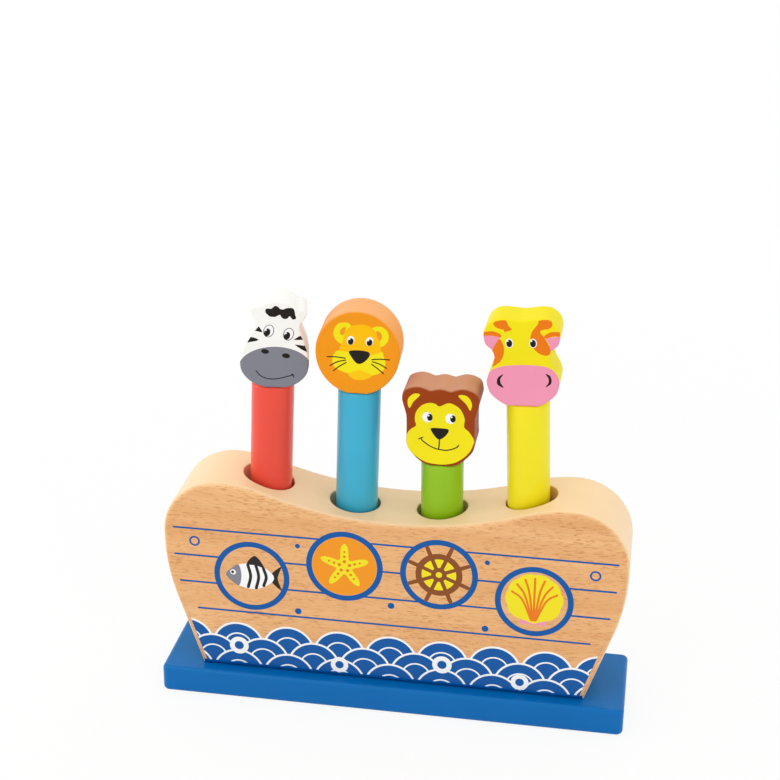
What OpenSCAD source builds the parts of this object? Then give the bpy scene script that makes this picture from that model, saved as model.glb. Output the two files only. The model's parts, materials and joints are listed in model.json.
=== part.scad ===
// Pop-up animal toy in beech: a boat-shaped block on a flat base, with four painted
// pegs that each carry an animal's head and stand on a coil spring in a bore.
// Millimetres. The origin is under the middle of the base: +X to the right along
// the toy, -Y to the front, +Z up.

/* [Base plate] */
// Length along the toy
base_length = 220; // [212:1:250]
// Depth from front to back
base_depth = 51.5; // [48:0.5:64]
// Thickness
base_thickness = 13.5; // [12:0.5:18]
// Rounding of the long edges
base_edge_radius = 2; // [1:0.5:4]

/* [Boat block] */
// Thickness from front to back
hull_thickness = 39; // [36:0.5:44]
// Length where it stands on the base
hull_foot_length = 182; // [178:1:190]
// Length at its widest place
hull_length = 216; // [208:1:230]
// Height of the two raised ends above the base plate
hull_peak_height = 96.7; // [94:0.1:102]
// Depth of the widest place below the raised ends
widest_depth = 29.7; // [28:0.1:36]
// Depth of the deck's low middle below the raised ends
sheer = 13.8; // [11:0.1:16]
// Radius of the raised ends' outer corners
corner_radius = 27; // [22:1:27]
// Radius of each end below its widest place
end_radius = 100; // [90:1:120]
// Radius of the deck's hollow middle
hollow_radius = 184; // [170:1:200]

/* [Pegs] */
// Distance between neighbouring bores
peg_pitch = 41; // [40.5:0.5:44]
// Diameter of the dowels
dowel_diameter = 19.5; // [18:0.5:20]
// Gap all round between a dowel and its bore
bore_play = 2; // [1.5:0.1:2.2]
// Height of the dowels' feet above the base plate
foot_height = 70.5; // [62:0.5:72]
// Height of the heads' seats above the base plate: zebra, lion, monkey, giraffe
seat_height = [141.8, 141.8, 109.4, 141.8]; // [104:0.1:150]
// How far each peg leans over in its loose bore, as a share of what the play allows
peg_lean = [0.65, 0.4, -0.13, -0.85]; // [-0.9:0.01:0.9]
// How far each peg is turned about its own length, in degrees
peg_turn = [12, 3, 0, -1]; // [-15:1:15]
// How far each head sits askew on its dowel, in degrees
head_tilt = [2.8, -1, 0, -1.2]; // [-4:0.1:4]
// How far each head sits to the right of its dowel's middle
head_shift = [0, 0, 0, -1.2]; // [-1.5:0.1:1.5]
// How far a peg lifts before it leaves its bore
lift_travel = 40; // [34:1:60]

/* [Heads] */
// Thickness of the heads
head_thickness = 18; // [16:0.5:20]
// Width of each head: zebra, lion, monkey, giraffe
head_width = [30.8, 37.8, 34.8, 33.4]; // [28:0.1:39]
// Height of each head
head_height = [41.9, 40, 39.2, 41.5]; // [36:0.1:46]
// Height of the flat at the chin that the dowel meets
chin_flat = 0.5; // [0.3:0.1:1]

/* [Springs] */
// Diameter of the spring wire
wire_diameter = 1; // [0.8:0.1:1.2]
// Diameter of a spring at the middle of its wire
coil_diameter = 16; // [15:0.5:16.5]
// Turns that work, without the closing turn at each end
working_turns = 8; // [6:1:9]

/* [Fixings] */
// Diameter of the wooden pin between a head and its dowel
pin_diameter = 8; // [6:0.5:8]
// Length of the wooden pin
pin_length = 24; // [20:1:24]
// Diameter of the screws' shanks
screw_diameter = 3.5; // [3:0.5:4]
// Length of the screws
screw_length = 30; // [25:1:35]

/* [Hidden] */
animals = ["zebra", "lion", "monkey", "giraffe"];
dowel_colours = ["tomato", "deepskyblue", "yellowgreen", "yellow"];
head_colours = ["white", "orange", "saddlebrown", "gold"];
glue_gap = 0.05;          // around a pin in its hole, and a staple's leg in its slot
pin_end_gap = 0.2;        // past each end of a pin
foot_gap = 0.3;           // between a dowel's foot and its spring
spring_lift = 0.15;       // under a spring's lowest turn
head_gap = 1.5;           // between a head and the deck, at the end of its travel
closed_slack = 3;         // wire diameters left between the turns of a pressed spring
dowel_top_radius = 1.5;
dowel_foot_radius = 1;
bore_diameter = dowel_diameter + 2 * bore_play;
spline_steps = 5;         // straight stretches from one point of a head's outline to the next
arc_step = 4;             // degrees from one point of a boat arc to the next
$fn = 64;

// half outlines from chin to crown, as shares of half the width and of the height
zebra_outline = [[0, 0], [0.42, 0.025], [0.715, 0.08], [0.93, 0.17], [1, 0.27], [0.975, 0.395],
    [0.885, 0.51], [0.755, 0.615], [0.67, 0.7], [0.675, 0.76], [0.78, 0.82], [0.83, 0.88],
    [0.73, 0.92], [0.56, 0.93], [0.43, 0.965], [0.23, 0.993], [0, 1]];
monkey_outline = [[0, 0], [0.28, 0.015], [0.52, 0.055], [0.8, 0.18], [0.89, 0.28], [0.885, 0.385],
    [0.885, 0.59], [0.915, 0.67], [0.975, 0.765], [1, 0.845], [0.935, 0.94], [0.75, 0.985],
    [0.56, 0.997], [0.4, 0.98], [0.26, 0.96], [0.12, 0.975], [0, 0.983]];
giraffe_outline = [[0, 0], [0.29, 0.008], [0.515, 0.03], [0.84, 0.135], [0.957, 0.262], [0.91, 0.365],
    [0.79, 0.468], [0.735, 0.566], [0.8, 0.646], [0.945, 0.704], [1, 0.788], [0.975, 0.872],
    [0.87, 0.94], [0.7, 0.986], [0.51, 0.998], [0.29, 0.99], [0, 0.978]];
half_outlines = [zebra_outline, undef, monkey_outline, giraffe_outline]; // the lion's is an oval

// the deck: a hollow arc in the middle that runs into a crest arc before each outer corner
corner_x = hull_length / 2 - corner_radius;
hull_middle_height = hull_peak_height - sheer;
crest_radius = (corner_x * corner_x + sheer * sheer) / (2 * sheer) - hollow_radius;
join_angle = asin(corner_x / (hollow_radius + crest_radius));
join_x = hollow_radius * sin(join_angle);

// the ends: an arc below the widest place, and a straight line that touches it
end_x = hull_length / 2 - end_radius;
hull_widest_height = hull_peak_height - widest_depth;
foot_dx = hull_foot_length / 2 - end_x;
foot_reach = norm([foot_dx, hull_widest_height]);
end_angle = atan2(-hull_widest_height, foot_dx) + acos(end_radius / foot_reach);

function deck_height(x) = let (a = abs(x))
    a < join_x ? hull_middle_height + hollow_radius - sqrt(pow(hollow_radius, 2) - a * a)
    : a < corner_x ? hull_peak_height - crest_radius + sqrt(pow(crest_radius, 2) - pow(a - corner_x, 2))
    : hull_peak_height - corner_radius + sqrt(pow(corner_radius, 2) - pow(a - corner_x, 2));

function arc(x, z, r, from, to) = let (n = ceil(abs(to - from) / arc_step))
    [for (i = [0:n]) let (a = from + (to - from) * i / n) [x + r * cos(a), z + r * sin(a)]];

// right half of the boat's outline, from the base plate up and over to the middle of the deck
hull_half = concat(
    [[hull_foot_length / 2, 0]],
    arc(end_x, hull_widest_height, end_radius, end_angle, 0),
    arc(corner_x, hull_peak_height - corner_radius, corner_radius, 0, 90),
    arc(corner_x, hull_peak_height - crest_radius, crest_radius, 90 + arc_step, 90 + join_angle),
    arc(0, hull_middle_height + hollow_radius, hollow_radius, join_angle - 90 - arc_step / 2, -90)
);

// where each peg stands, how far it can be pressed, and its lean
function bore_x(i) = (i - 1.5) * peg_pitch;
function chin_rise(i, u) = u * u / head_width[i] - chin_flat;
function head_room(i) = min([for (share = [-0.36:0.06:0.36]) let (u = share * head_width[i])
    seat_height[i] + chin_rise(i, u) - deck_height(bore_x(i) + u)]);
closed_spring = (working_turns + 3 + closed_slack) * wire_diameter;
function press_room(i) = min(head_room(i) - head_gap, foot_height - closed_spring);
function press_travel(i) = floor(press_room(i));
function guided_length(i) = deck_height(bore_x(i)) - foot_height + press_room(i);
function lean_offset(i) = 0.9 * peg_lean[i] * bore_play;
function lean_angle(i) = atan(2 * lean_offset(i) / guided_length(i));

// closed smooth curve through mirrored points: a cubic runs from each point to the next
function mirrored(half) = concat(half,
    [for (i = [len(half) - 2:-1:1]) [-half[i][0], half[i][1]]]);
function curve_point(a, b, c, d, t) = 0.5 * (2 * b + (c - a) * t
    + (2 * a - 5 * b + 4 * c - d) * t * t + (3 * b - a - 3 * c + d) * t * t * t);
function closed_curve(p) = let (n = len(p)) [for (i = [0:n - 1], s = [0:spline_steps - 1])
    curve_point(p[(i + n - 1) % n], p[i], p[(i + 1) % n], p[(i + 2) % n], s / spline_steps)];
function oval(width, height) = [for (k = [0:127]) let (a = 360 * k / 128)
    [width / 2 * cos(a), height / 2 * (1 + sin(a))]];
function head_points(i) = half_outlines[i] == undef ? oval(head_width[i], head_height[i])
    : closed_curve(mirrored([for (p = half_outlines[i]) [p[0] * head_width[i] / 2, p[1] * head_height[i]]]));

// ---- base plate and boat block ----

screw_spacing = 2 * peg_pitch;
screw_sink = 0.3;         // of a screw's head below the base plate's underside
screw_head = 2 * screw_diameter;
screw_cone = (screw_head - screw_diameter) / 2;
pilot_gap = 0.05;

module rounded_rectangle(x, y, r) {
    square([x - 2 * r, y], center = true);
    square([x, y - 2 * r], center = true);
    for (i = [-1, 1], j = [-1, 1])
        translate([i * (x / 2 - r), j * (y / 2 - r)]) circle(r);
}

module plate_body() {
    intersection() {
        linear_extrude(height = base_thickness)
            rounded_rectangle(base_length, base_depth, base_edge_radius + 1);
        translate([0, base_depth / 2 + 1, base_thickness / 2]) rotate([90, 0, 0])
            linear_extrude(height = base_depth + 2)
                rounded_rectangle(base_length, base_thickness, base_edge_radius);
        translate([-base_length / 2 - 1, 0, base_thickness / 2]) rotate([90, 0, 90])
            linear_extrude(height = base_length + 2)
                rounded_rectangle(base_depth, base_thickness, base_edge_radius);
    }
}

module base_plate() {
    color("steelblue") difference() {
        plate_body();
        for (i = [-1:1]) translate([i * screw_spacing, 0, 0]) screw_space();
        for (i = [0:3], k = [0, 1]) spring_staple(i, k, glue_gap);
    }
}

module hull() {
    outline = concat(hull_half, [for (i = [len(hull_half) - 2:-1:0]) [-hull_half[i][0], hull_half[i][1]]]);
    color("burlywood") translate([0, 0, base_thickness]) difference() {
        translate([0, hull_thickness / 2, 0]) rotate([90, 0, 0])
            linear_extrude(height = hull_thickness) polygon(outline);
        for (i = [0:3]) translate([bore_x(i), 0, -1]) cylinder(d = bore_diameter, h = hull_peak_height + 2);
        for (i = [-1:1]) translate([i * screw_spacing, 0, -base_thickness]) screw_space();
    }
}

// ---- screws from below ----

module screw_space() {
    reach = screw_diameter / 2 + pilot_gap;
    translate([0, 0, -1]) cylinder(r = screw_head / 2 + pilot_gap, h = 1 + screw_sink);
    translate([0, 0, screw_sink]) cylinder(r1 = screw_head / 2 + pilot_gap, r2 = reach, h = screw_cone);
    cylinder(r = reach, h = screw_length + 1);
}

module screw(i) {
    point = screw_diameter;
    shank = screw_length - point;
    slot = [0.6 * screw_head, 0.15 * screw_head, 2 * 0.6 * screw_cone];
    color("silver") translate([i * screw_spacing, 0, screw_sink]) difference() {
        rotate_extrude() polygon([[0, 0], [screw_head / 2, 0], [screw_diameter / 2, screw_cone],
            [screw_diameter / 2, shank], [0.3, screw_length], [0, screw_length]]);
        for (a = [0, 90]) rotate([0, 0, a]) cube(slot, center = true);
    }
}

// ---- pegs: all of a peg lies about its own leaning axis, from the deck's height ----

module on_peg(i) {
    translate([bore_x(i) + lean_offset(i), 0, base_thickness + deck_height(bore_x(i))])
        rotate([0, lean_angle(i), 0]) rotate([0, 0, peg_turn[i]]) children();
}

function foot_at(i) = foot_height - deck_height(bore_x(i));
function seat_at(i) = seat_height[i] - deck_height(bore_x(i));

module pin_hole(i) {
    translate([0, 0, seat_at(i) - pin_length / 2 - pin_end_gap])
        cylinder(d = pin_diameter + 2 * glue_gap, h = pin_length + 2 * pin_end_gap);
}

module pin(i) {
    color("wheat") on_peg(i) translate([0, 0, seat_at(i) - pin_length / 2])
        cylinder(d = pin_diameter, h = pin_length);
}

module dowel(i) {
    r = dowel_diameter / 2;
    length = seat_at(i) - foot_at(i);
    top = dowel_top_radius;
    foot = dowel_foot_radius;
    color(dowel_colours[i]) on_peg(i) difference() {
        translate([0, 0, foot_at(i)]) rotate_extrude() {
            translate([0, foot]) square([r, length - foot - top]);
            square([r - foot, length]);
            translate([0, length / 2]) square([r - top, length / 2]);
            translate([r - foot, foot]) circle(foot);
            translate([r - top, length - top]) circle(top);
        }
        pin_hole(i);
    }
}

module head_outline(i) {
    difference() {
        translate([head_shift[i], 0]) rotate(-head_tilt[i]) polygon(head_points(i));
        translate([-head_width[i], chin_flat - head_height[i]]) square([2 * head_width[i], head_height[i]]);
    }
}

module head(i) {
    color(head_colours[i]) on_peg(i) difference() {
        translate([0, head_thickness / 2, seat_at(i) - chin_flat]) rotate([90, 0, 0])
            linear_extrude(height = head_thickness) head_outline(i);
        pin_hole(i);
    }
}

// ---- springs: one closing turn, the working turns and one closing turn ----

rings_per_turn = 8;
wire_sides = 6;
seat_pitch = 2.6 * wire_diameter;      // of the lowest turn, which leaves room for a staple
top_pitch = 1.5 * wire_diameter;
all_turns = working_turns + 2;
function spring_length(i) = foot_height - spring_lift - foot_gap
    - dowel_diameter / 2 * sin(abs(lean_angle(i)));
function working_pitch(i) = (spring_length(i) - wire_diameter - seat_pitch - top_pitch) / working_turns;
function wire_height(i, t) = wire_diameter / 2 + seat_pitch * min(t, 1)
    + working_pitch(i) * max(0, min(t - 1, working_turns)) + top_pitch * max(0, t - 1 - working_turns);

// middle of the wire: a straight stretch as long as the wire is thick, the turns, and another
function on_turn(i, t) = [coil_diameter / 2 * cos(360 * t), coil_diameter / 2 * sin(360 * t), wire_height(i, t)];
function wire_path(i) = let (n = all_turns * rings_per_turn, first = on_turn(i, 0), last = on_turn(i, all_turns))
    concat([first - [0, wire_diameter, 0]],
        [for (k = [0:n]) on_turn(i, k / rings_per_turn)],
        [last + [0, wire_diameter, 0]]);
function wire_ring(path, k) = let (
        turn = 360 * (min(max(k, 1), len(path) - 2) - 1) / rings_per_turn,
        out = [cos(turn), sin(turn), 0])
    [for (s = [0:wire_sides - 1]) let (a = 360 * s / wire_sides)
        path[k] + wire_diameter / 2 * (cos(a) * out + sin(a) * [0, 0, 1])];
function wire_gap(path) = min([for (j = [0:len(path) - 1], k = [j + rings_per_turn - 2:1:len(path) - 1])
    norm(path[j] - path[k])]) - wire_diameter;

module spring(i) {
    path = wire_path(i);
    rings = len(path);
    points = [for (k = [0:rings - 1]) each wire_ring(path, k)];
    sides = [for (k = [0:rings - 2], s = [0:wire_sides - 1]) let (
            a = k * wire_sides + s, b = k * wire_sides + (s + 1) % wire_sides)
        each [[a, b, a + wire_sides], [b, b + wire_sides, a + wire_sides]]];
    first = [for (s = [1:wire_sides - 2]) [0, s + 1, s]];
    start = (rings - 1) * wire_sides;
    last = [for (s = [1:wire_sides - 2]) [start, start + s, start + s + 1]];
    echo(str(animals[i], " spring: least gap to itself ", wire_gap(path), " mm, length ", spring_length(i)));
    color("lightgray") translate([bore_x(i), 0, base_thickness + spring_lift])
        polyhedron(points = points, faces = concat(sides, first, last));
}

// ---- staples: two over each spring's lowest turn, driven into the base plate ----

staple_wire = [0.7, 1.2];        // thickness and width
staple_depth = 7;
staple_turns = [0.125, 0.625];   // places along the lowest turn
staple_gap = 0.4;                // between a staple's legs and the wire
crown_gap = 0.1;                 // between its crown and the wire's highest point under it
crown_reach = 0.03;              // turns that the crown covers past its middle

module spring_staple(i, k, gap) {
    inside = wire_diameter / 2 + staple_gap;
    under = spring_lift + wire_height(i, staple_turns[k] + crown_reach) + wire_diameter / 2 + crown_gap;
    translate([bore_x(i), 0, base_thickness]) rotate([0, 0, 360 * staple_turns[k]])
        translate([coil_diameter / 2, 0, 0]) {
            for (side = [-1, 1]) translate([side * (inside + staple_wire[0] / 2), 0, 0])
                translate([-staple_wire[0] / 2 - gap, -staple_wire[1] / 2 - gap, -staple_depth - gap])
                    cube([staple_wire[0] + 2 * gap, staple_wire[1] + 2 * gap, staple_depth + gap + under]);
            translate([-inside - staple_wire[0], -staple_wire[1] / 2, under])
                cube([2 * (inside + staple_wire[0]), staple_wire[1], staple_wire[0]]);
        }
}

module staples(i) {
    color("gray") for (k = [0, 1]) spring_staple(i, k, 0);
}

for (i = [0:3])
    echo(animals[i], bore = bore_x(i), press = press_travel(i), lean = lean_angle(i),
        axis_x = bore_x(i) + lean_offset(i), axis_z = base_thickness + deck_height(bore_x(i)));

base_plate();
hull();
screw(-1);  // screw_left
screw(0);  // screw_middle
screw(1);  // screw_right
for (i = [0:3]) {
    head(i);
    dowel(i);
    pin(i);
    spring(i);
    staples(i);
}
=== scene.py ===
import json
import math
import bpy
import numpy as np
from mathutils import Matrix, Vector
from mathutils.geometry import delaunay_2d_cdt


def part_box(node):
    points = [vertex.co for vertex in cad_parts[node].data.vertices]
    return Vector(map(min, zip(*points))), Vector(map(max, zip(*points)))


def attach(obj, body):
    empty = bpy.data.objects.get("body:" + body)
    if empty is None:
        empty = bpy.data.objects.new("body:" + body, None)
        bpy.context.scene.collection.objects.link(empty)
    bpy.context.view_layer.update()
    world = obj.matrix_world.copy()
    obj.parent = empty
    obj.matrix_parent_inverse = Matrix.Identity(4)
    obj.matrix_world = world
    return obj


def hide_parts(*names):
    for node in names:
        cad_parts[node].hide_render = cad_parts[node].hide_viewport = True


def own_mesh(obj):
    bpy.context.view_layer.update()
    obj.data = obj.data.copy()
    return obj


# Looks of the pop-up animal toy. Shapes are worked out in millimetres, and meshes are in metres.
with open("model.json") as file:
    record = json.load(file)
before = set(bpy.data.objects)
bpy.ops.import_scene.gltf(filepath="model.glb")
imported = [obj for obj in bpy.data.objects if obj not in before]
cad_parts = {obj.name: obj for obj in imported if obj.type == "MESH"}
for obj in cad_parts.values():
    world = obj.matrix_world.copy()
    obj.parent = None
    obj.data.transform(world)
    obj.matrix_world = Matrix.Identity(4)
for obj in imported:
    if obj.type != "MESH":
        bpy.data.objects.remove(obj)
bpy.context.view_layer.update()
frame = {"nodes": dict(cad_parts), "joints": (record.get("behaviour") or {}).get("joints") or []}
mm = 0.001
animals = ["zebra", "lion", "monkey", "giraffe"]
joints = {joint["name"]: joint for joint in frame["joints"]}
holeSides = 72  # points round a drilled hole
edgeSteps = 6  # rows over a rounded edge
inkMargin = 0.15  # between a flat face's rim and the part of it that is split along its inks
weldStep = 1e-4  # points that agree to this step are one
print("frame loaded")


def srgb(red, green, blue, cover=1.0):  # a colour as a picture gives it, made linear
    c = np.array([red, green, blue]) / 255
    linear = np.where(c <= 0.04045, c / 12.92, ((c + 0.055) / 1.055) ** 2.4)
    return (*linear.tolist(), cover)


# lines in a plane

def ccw(points):  # the same polygon, run counter-clockwise
    points = np.asarray(points, float)
    after = np.roll(points, -1, axis=0)
    area = np.sum(points[:, 0] * after[:, 1] - after[:, 0] * points[:, 1])
    return points if area > 0 else points[::-1]


def ellipse(cx, cy, rx, ry, turn=0.0, count=48):  # centre plus (rx cos t, ry sin t), turned
    t = np.arange(count) * 2 * np.pi / count
    c, s = math.cos(math.radians(turn)), math.sin(math.radians(turn))
    u, v = rx * np.cos(t), ry * np.sin(t)
    return np.stack([cx + c * u - s * v, cy + s * u + c * v], 1)


def cubicBetween(a, b, c, d, t):
    # the cubic from b at t = 0 to c at t = 1, with slopes (c - a) / 2 and (d - b) / 2 at its ends
    return 0.5 * (2 * b + (c - a) * t + (2 * a - 5 * b + 4 * c - d) * t**2
                  + (3 * b - a - 3 * c + d) * t**3)


def closedCurve(points, steps=8):  # smooth closed curve through the points
    p = np.asarray(points, float)[:, None, :]
    t = (np.arange(steps) / steps)[None, :, None]
    run = cubicBetween(np.roll(p, 1, 0), p, np.roll(p, -1, 0), np.roll(p, -2, 0), t)
    return run.reshape(-1, 2)


def openCurve(points, steps=10):  # smooth open curve through the points
    p = np.asarray(points, float)
    p = np.concatenate([[2 * p[0] - p[1]], p, [2 * p[-1] - p[-2]]])[:, None, :]
    t = (np.arange(steps) / steps)[None, :, None]
    run = cubicBetween(p[:-3], p[1:-2], p[2:-1], p[3:], t).reshape(-1, p.shape[2])
    return np.concatenate([run, p[-2]])


def stroke(points, width, taper=0.0, steps=10):
    # a pen line: the curve plus and minus half its width, with round ends
    run = openCurve(points, steps)
    along = np.gradient(run, axis=0)
    along /= np.linalg.norm(along, axis=1)[:, None]
    side = np.stack([-along[:, 1], along[:, 0]], 1)
    share = np.linspace(0, 1, len(run))
    half = (width / 2 * (1 - taper * share))[:, None]
    a = np.linspace(0, np.pi, 7)[1:-1, None]
    tip = run[-1] + half[-1] * (np.cos(a) * -side[-1] + np.sin(a) * along[-1])
    tail = run[0] + half[0] * (np.cos(a) * side[0] - np.sin(a) * along[0])
    return np.concatenate([run - half * side, tip, (run + half * side)[::-1], tail])


def arc(cx, cy, radius, start, stop, step=1.5):  # points along a circle, in degrees
    a = np.radians(np.linspace(start, stop, max(2, int(abs(stop - start) / step) + 1)))
    return np.stack([cx + radius * np.cos(a), cy + radius * np.sin(a)], 1)


def stations(points, closed=True, sharp=30):
    # places, mitres and right-hand normals along a line; a sharp corner is there twice, once a side
    points = np.asarray(points, float)
    before = points - np.roll(points, 1, 0)
    after = np.roll(points, -1, 0) - points
    if not closed:
        before[0], after[-1] = after[0], before[-1]
    before = np.stack([before[:, 1], -before[:, 0]], 1) / np.linalg.norm(before, axis=1)[:, None]
    after = np.stack([after[:, 1], -after[:, 0]], 1) / np.linalg.norm(after, axis=1)[:, None]
    agree = np.sum(before * after, 1)
    mitre = (before + after) / (1 + agree)[:, None]
    normal = (before + after) / np.linalg.norm(before + after, axis=1)[:, None]
    corner = agree < math.cos(math.radians(sharp))
    times = np.where(corner, 2, 1)
    place = np.repeat(np.arange(len(points)), times)
    second = np.concatenate([[False], place[1:] == place[:-1]])
    normals = normal[place]
    doubled = corner[place]
    normals[doubled & ~second] = before[place][doubled & ~second]
    normals[doubled & second] = after[place][doubled & second]
    return points[place], mitre[place], normals


def insidePolygon(points, polygon):  # an odd number of its sides lie to the right of a point inside
    x, y = points[:, 0:1], points[:, 1:2]
    ax, ay = polygon[:, 0][None], polygon[:, 1][None]
    bx, by = np.roll(ax, -1), np.roll(ay, -1)
    spans = (ay > y) != (by > y)
    rise = np.where(by == ay, 1, by - ay)
    return np.sum(spans & (x < (bx - ax) * (y - ay) / rise + ax), 1) % 2 == 1


def topInk(points, inks, bare):  # colour of the last ink that covers each point
    colours = np.tile(np.array(bare, float), (len(points), 1))
    for colour, polygon in inks:
        colours[insidePolygon(points, polygon)] = colour
    return colours


# pieces of surface, each as (points, triangles, normals, colour of each triangle)

def triangulate(points, edges, faces):
    # triangles, and the faces that each lies in, with the given points kept exact
    insideFaces, nearest = 1, 1e-5  # keep what lies inside faces; points nearer than this are one
    made = delaunay_2d_cdt([Vector(p) for p in points], edges, faces, insideFaces, nearest, True)
    found = np.array([v[:] for v in made[0]], float)
    source = np.array([o[0] if o else -1 for o in made[3]])
    found[source >= 0] = points[source[source >= 0]]
    return found, np.array(made[2]), made[5]


def openVertices(triangles):  # vertices on edges that only one triangle has
    pairs = np.concatenate([triangles[:, [0, 1]], triangles[:, [1, 2]], triangles[:, [2, 0]]])
    pairs = np.sort(pairs, 1)
    unique, count = np.unique(pairs, axis=0, return_counts=True)
    return np.unique(unique[count == 1])


def loopsOf(polygons):  # the polygons' points in one array, and each one's indices
    starts = np.cumsum([0] + [len(p) for p in polygons])
    return np.concatenate(polygons), [list(range(a, b)) for a, b in zip(starts, starts[1:])]


def flatPatch(rim, margin, inks, cuts, bare):
    # the flat face inside rim, split along the edges of its inks; holes are left where cuts are
    polygons = [ccw(margin)] + [ccw(p) for _, p in inks] + [ccw(c) for c in cuts]
    points, faces = loopsOf(polygons)
    found, triangles, within = triangulate(points, [], faces)
    firstCut = 1 + len(inks)
    keep = [0 in w and max(w) < firstCut for w in within]
    colours = np.array([bare] + [colour for colour, _ in inks] + [bare] * len(cuts), float)
    shown = colours[[max(w) if w else 0 for w in within]][keep]
    triangles = triangles[keep]
    # a ring from the margin, which the inks cross, out to the rim, which they don't
    border = found[openVertices(triangles)]
    base = polygons[0]
    step = np.roll(base, -1, 0) - base
    offset = border[:, None] - base[None]
    share = np.clip(np.sum(offset * step, 2) / np.sum(step * step, 1), 0, 1)
    away = np.linalg.norm(offset - share[..., None] * step, axis=2)
    nearest = np.argmin(away, 1)
    row = np.arange(len(border))
    onMargin = away[row, nearest] < 1e-3  # the rest of the border is round the cuts
    inner = border[onMargin][np.argsort((nearest + share[row, nearest])[onMargin])]
    ringPoints, ringFaces = loopsOf([ccw(rim), inner])
    ring, ringTriangles, ringWithin = triangulate(ringPoints, [], ringFaces)
    ringTriangles = ringTriangles[[0 in w and 1 not in w for w in ringWithin]]
    ringColours = topInk(ring[ringTriangles].mean(1), inks, bare)
    return (np.concatenate([found, ring]), np.concatenate([triangles, ringTriangles + len(found)]),
            np.concatenate([shown, ringColours]))


def gridPart(points, normals, colour, skip=None, closed=True):
    # rows by columns of points made into triangles; the columns close into a ring; skip marks cells
    # that stay open
    rows, columns = points.shape[:2]
    across = columns if closed else columns - 1
    r, c = np.meshgrid(np.arange(rows - 1), np.arange(across), indexing="ij")
    if skip is not None:
        r, c = r[~skip[:, :across]], c[~skip[:, :across]]
    a, b = r * columns + c, r * columns + (c + 1) % columns
    triangles = np.stack([a, b, b + columns, a, b + columns, a + columns], -1).reshape(-1, 3)
    colours = np.tile(np.array(colour, float), (len(triangles), 1))
    return points.reshape(-1, 3), triangles, normals.reshape(-1, 3), colours


def turned(profile, centre, colour, count=72, sharp=30):
    # a profile of (radius, height) turned about an upright axis: (r cos t, r sin t, h)
    place, _, normal = stations(profile, closed=False, sharp=sharp)
    t = np.arange(count) * 2 * np.pi / count
    c, s = np.cos(t)[None], np.sin(t)[None]
    points = np.stack([centre[0] + place[:, :1] * c, centre[1] + place[:, :1] * s,
                       np.repeat(place[:, 1:], count, 1)], 2)
    normals = np.stack([normal[:, :1] * c, normal[:, :1] * s,
                        np.repeat(normal[:, 1:], count, 1)], 2)
    return gridPart(points, normals, colour)


def drilledStrip(section, normals, half, holes, colour, level=False):
    # the strip swept from y = -half to half along a section of (x, z), with round holes (x, radius,
    # angles) drilled in z, and each hole's ring of points; a level strip needs no lines across it
    length = np.concatenate([[0], np.cumsum(np.linalg.norm(np.diff(section, axis=0), axis=1))])
    order = np.argsort(section[:, 0])
    count = len(section)
    sides = np.concatenate([np.stack([length, np.full(count, -half)], 1),
                            np.stack([length, np.full(count, half)], 1)[::-1]])
    circles = []
    for cx, radius, t in holes:
        run = np.interp(cx + radius * np.cos(t), section[order, 0], length[order])
        circles.append(ccw(np.stack([run, radius * np.sin(t)], 1)))
    points, faces = loopsOf([sides] + circles)
    across = [] if level else [(i, 2 * count - 1 - i) for i in range(1, count - 1)]
    found, triangles, within = triangulate(points, across, faces)
    triangles = triangles[[w == [0] for w in within]]
    place = np.stack([np.interp(found[:, 0], length, section[:, k]) for k in (0, 1)], 1)
    normal = np.stack([np.interp(found[:, 0], length, normals[:, k]) for k in (0, 1)], 1)
    points = np.stack([place[:, 0], found[:, 1], place[:, 1]], 1)
    normal = np.stack([normal[:, 0], np.zeros(len(found)), normal[:, 1]], 1)
    rim = points[openVertices(triangles)]
    rings = []
    for cx, radius, t in holes:
        ring = rim[np.abs(np.hypot(rim[:, 0] - cx, rim[:, 1]) - radius) < 0.1]
        rings.append(ring[np.argsort(np.arctan2(ring[:, 1], ring[:, 0] - cx))])
    return (points, triangles, normal, np.tile(np.array(colour, float), (len(triangles), 1))), rings


def drilledHole(ring, cx, radius, rim, end, colour, closed=False):
    # from a ring of points: rounded rim, then the wall to the height end, and a flat end if closed
    t, start = np.arctan2(ring[:, 1], ring[:, 0] - cx)[None], ring[:, 2][None]
    way = np.sign(end - start.mean())
    a = np.radians([22.5, 45, 67.5, 90] if rim else [90])[:, None]
    across = radius + rim * (1 - np.sin(a)) + 0 * t
    up = start + way * rim * (1 - np.cos(a)) + 0 * t
    tilt = np.sin(a) + 0 * t
    shut = 2 if closed else 0
    across = np.concatenate([across, across[-1:]] + [across[-1:], 0 * across[-1:]][:shut])
    up = np.concatenate([up, 0 * up[-1:] + end] + [0 * up[-1:] + end] * shut)
    tilt = np.concatenate([tilt, tilt[-1:]] + [0 * tilt[-1:]] * shut)
    points = np.stack([cx + across * np.cos(t), across * np.sin(t), up], 2)
    level = np.sqrt(1 - tilt**2 + 1e-9)
    normals = np.stack([-tilt * np.cos(t), -tilt * np.sin(t), -way * level], 2)
    first = np.array([0, 0, -way]) if rim else normals[0]
    points = np.concatenate([ring[None], points])
    normals = np.concatenate([0 * normals[:1] + first, normals])
    return gridPart(points, normals, colour)


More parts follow.
